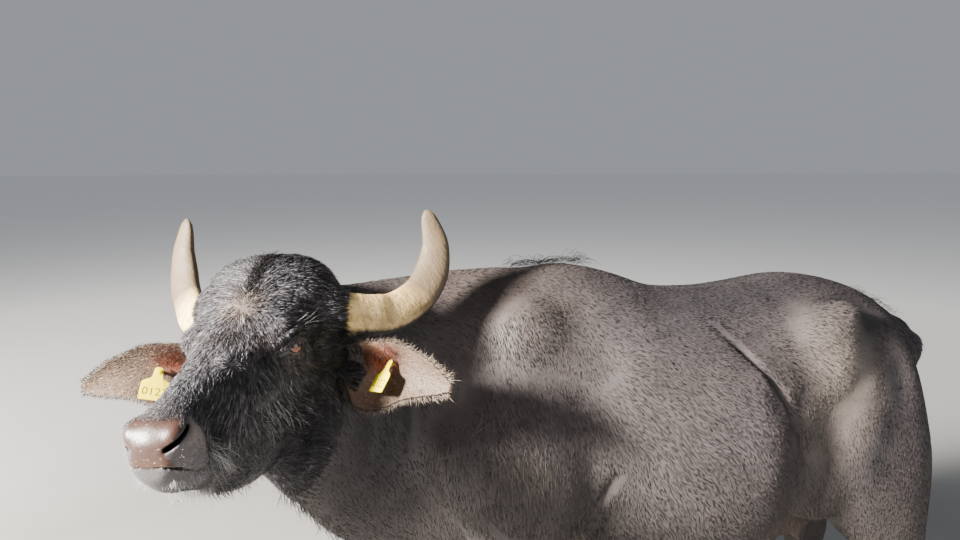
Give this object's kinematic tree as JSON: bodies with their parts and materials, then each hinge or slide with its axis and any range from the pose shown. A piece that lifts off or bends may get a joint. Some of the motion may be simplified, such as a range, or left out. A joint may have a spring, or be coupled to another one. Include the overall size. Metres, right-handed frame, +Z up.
{
  "type": "water buffalo model",
  "caption": "Life-size still model of a dark water buffalo cow standing with its head turned to its left, with back-swept horns and yellow ear tags",
  "frame": {"origin": "on the floor, under the middle of the bounding box", "axes": "+Z up, the animal faces -X, its left side towards -Y, its head turned towards -Y"},
  "size_m": [2.167, 0.993, 1.4886],
  "materials": {
    "coat": "dark grey-brown skin with short, sparse hair",
    "ear": "grey-brown skin, pale hair inside",
    "horn": "horn, worn and ridged, stands in for keratin",
    "hoof": "dark horn of the claws, stands in for keratin",
    "eye": "wet, reddish brown eye",
    "tag": "yellow flexible plastic with a plain number",
    "switch": "long dark hair"
  },
  "bodies": {
    "root": {"head": "coat", "neck": "coat", "torso": "coat", "tail": "coat", "leg_fore_left": "coat", "leg_fore_right": "coat", "leg_hind_left": "coat", "leg_hind_right": "coat", "ear_left": "ear", "ear_right": "ear", "horn_left": "horn", "horn_right": "horn", "eye_left": "eye", "eye_right": "eye", "ear_tag_left": "tag", "ear_tag_right": "tag", "tail_switch": "switch", "claw_fore_left_left": "hoof", "claw_fore_left_right": "hoof", "claw_fore_right_left": "hoof", "claw_fore_right_right": "hoof", "claw_hind_left_left": "hoof", "claw_hind_left_right": "hoof", "claw_hind_right_left": "hoof", "claw_hind_right_right": "hoof", "dewclaw_fore_left_left": "hoof", "dewclaw_fore_left_right": "hoof", "dewclaw_fore_right_left": "hoof", "dewclaw_fore_right_right": "hoof", "dewclaw_hind_left_left": "hoof", "dewclaw_hind_left_right": "hoof", "dewclaw_hind_right_left": "hoof", "dewclaw_hind_right_right": "hoof"}
  },
  "joints": []
}
